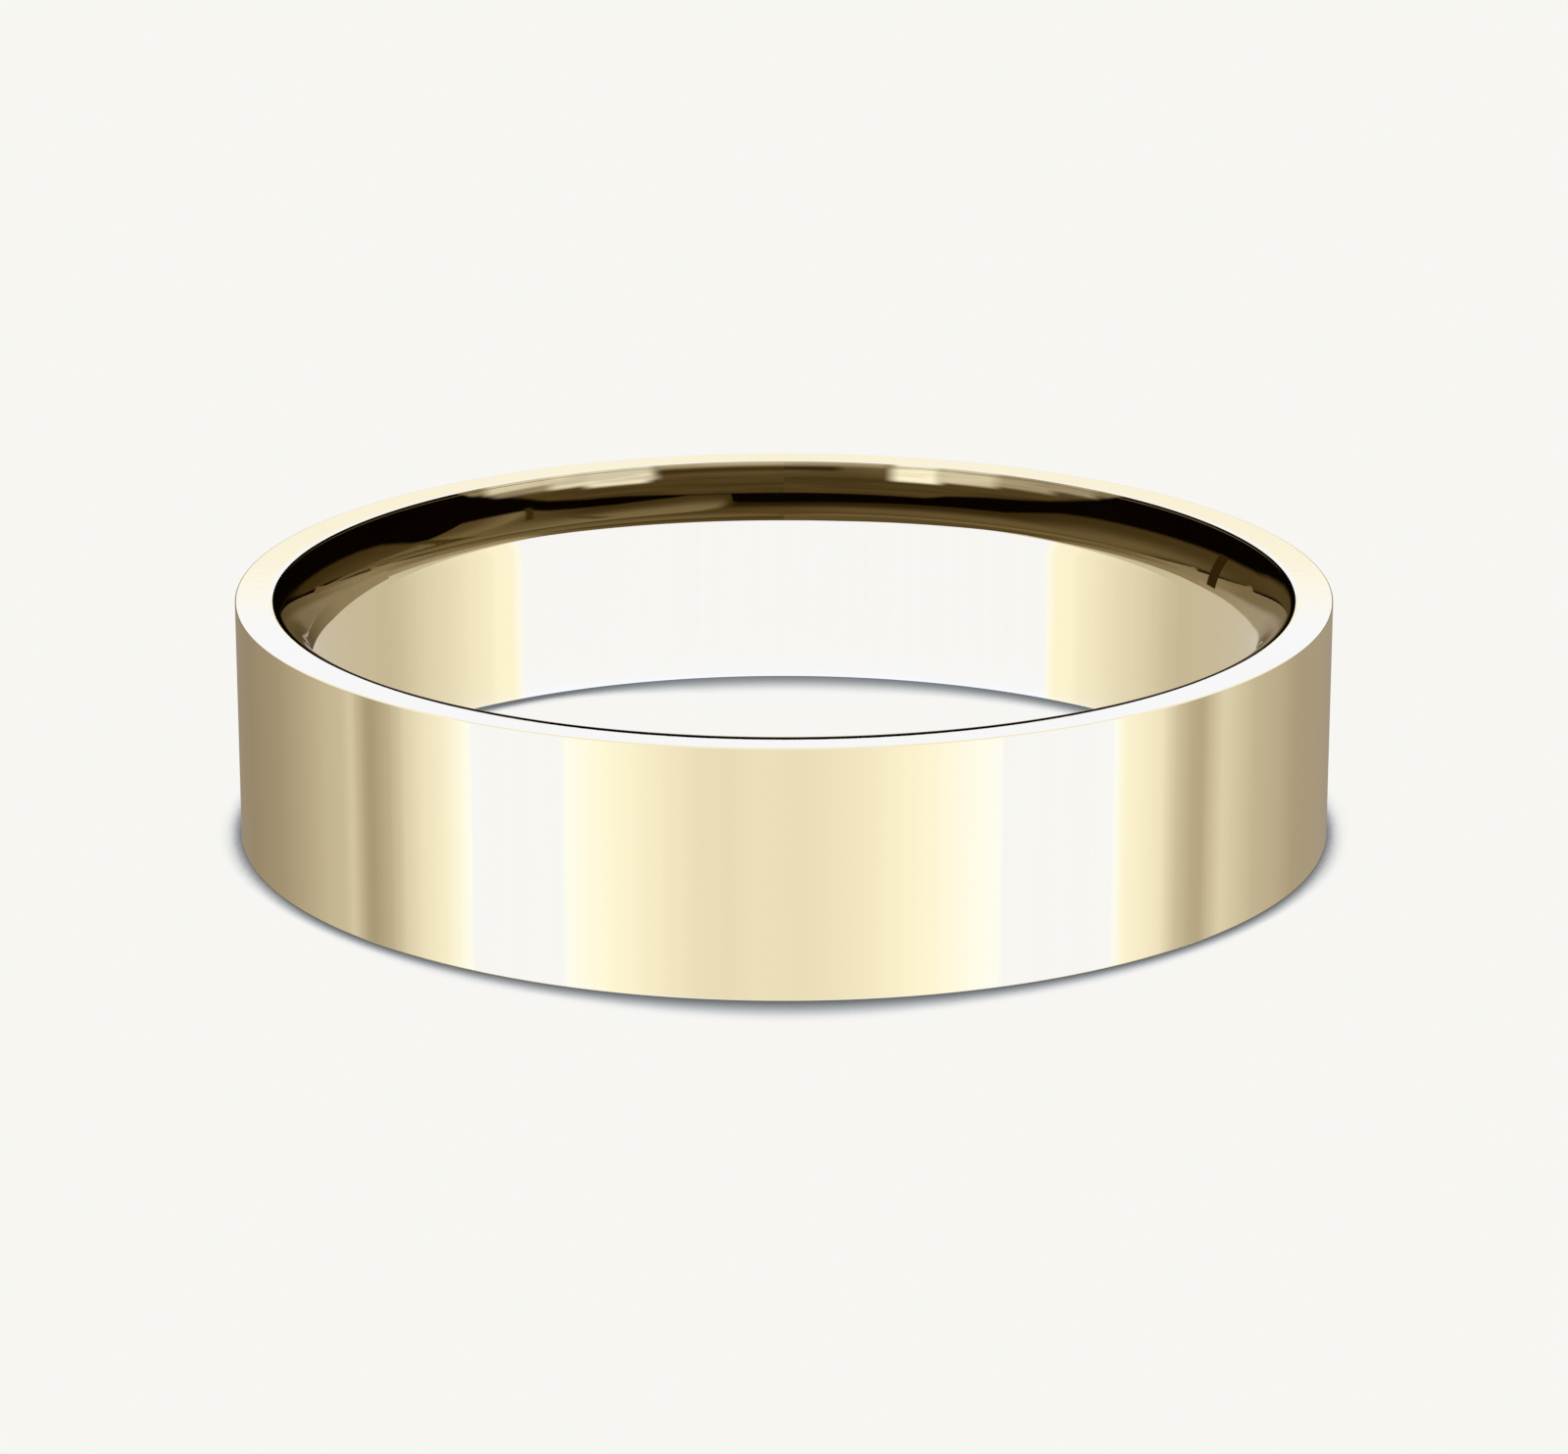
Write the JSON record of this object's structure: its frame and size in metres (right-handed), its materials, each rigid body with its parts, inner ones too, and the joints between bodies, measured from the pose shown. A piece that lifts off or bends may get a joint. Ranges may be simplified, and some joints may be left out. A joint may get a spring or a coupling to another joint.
{
  "type": "wedding band",
  "caption": "Plain comfort-fit wedding band in polished yellow gold: flat outside, flat rims, rolled inner shoulders, closed with a flush solder seam.",
  "frame": {"origin": "centre of the circle that the lower rim stands on", "axes": "+Z along the finger's axis, away from the lower rim; the solder seam is on the +X side"},
  "size_m": [0.0225, 0.0224, 0.005],
  "materials": {
    "gold": "mirror-polished 14 ct yellow gold with faint polishing lines across the band",
    "gold_solder": "mirror-polished hard gold solder, dressed flush"
  },
  "bodies": {
    "root": {"shank": "gold", "solder_seam": "gold_solder"}
  },
  "joints": []
}
